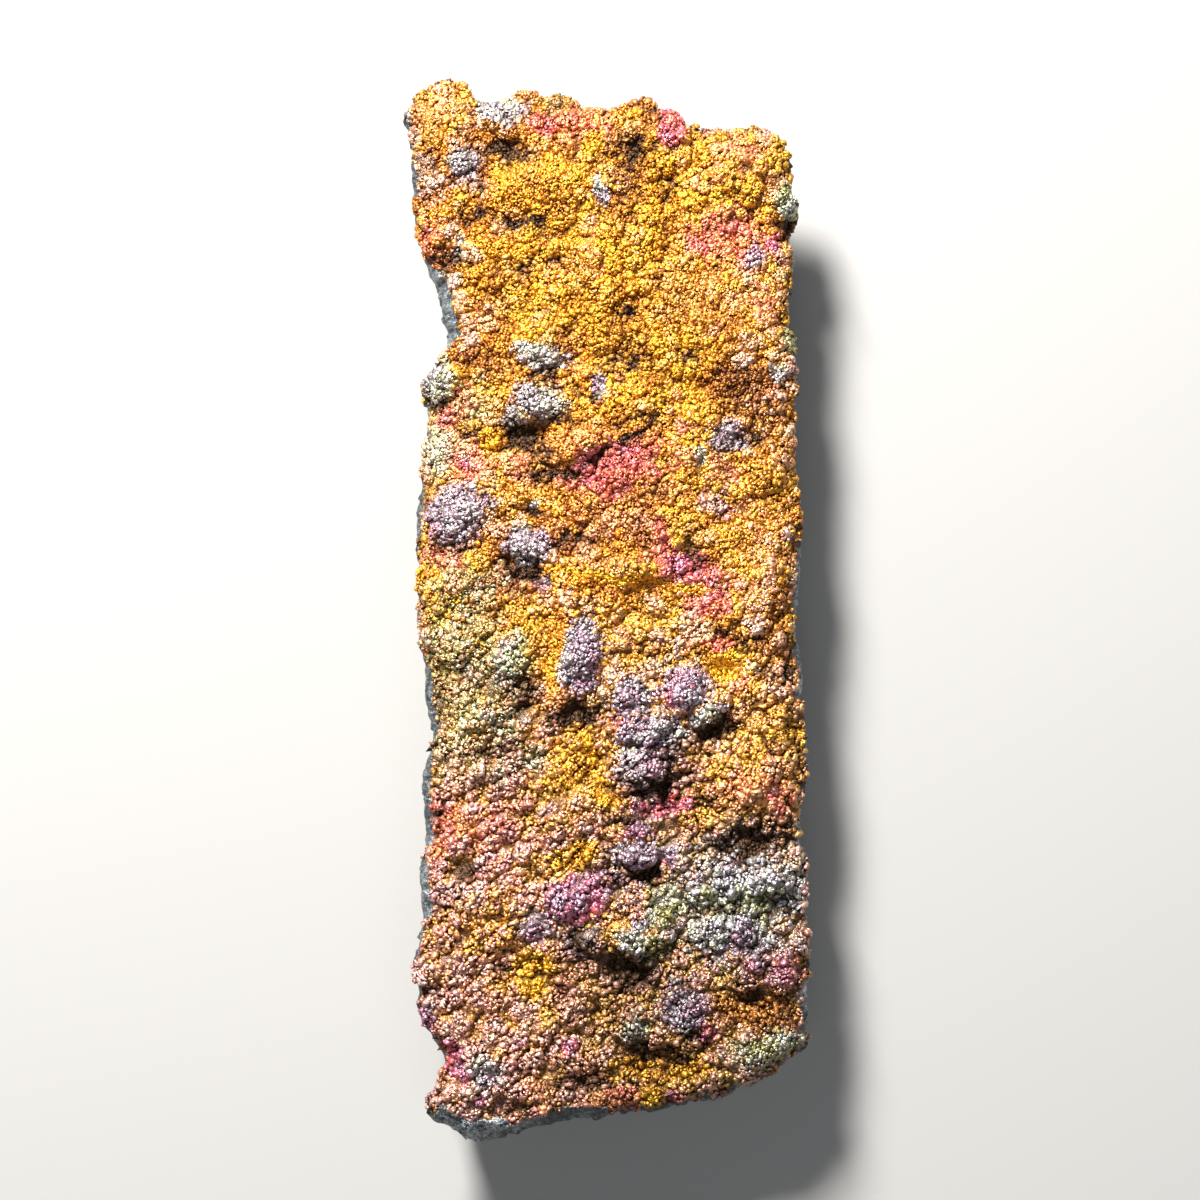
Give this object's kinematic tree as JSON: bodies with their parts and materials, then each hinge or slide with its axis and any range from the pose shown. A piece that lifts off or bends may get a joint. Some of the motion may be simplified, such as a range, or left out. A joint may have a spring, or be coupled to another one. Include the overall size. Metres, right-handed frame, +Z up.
{
  "type": "iridescent goethite",
  "caption": "Long flat slab of botryoidal goethite crust with a rainbow film over tiny metallic beads, broken fibrous sides and back, lying on a small flat spot.",
  "frame": {"origin": "under the middle of the slab, on the surface that it lies on", "axes": "+Z up out of the crust, +Y along the slab towards the end with the two round corner lobes, +X to the right when looking down on the crust"},
  "size_m": [0.0426, 0.11, 0.0162],
  "materials": {
    "goethite": "metallic iridescent film of gold, orange, rose and violet over fine beads, with grey to brown fibrous stone where it is broken"
  },
  "bodies": {
    "root": {"goethite": "goethite"}
  },
  "joints": []
}
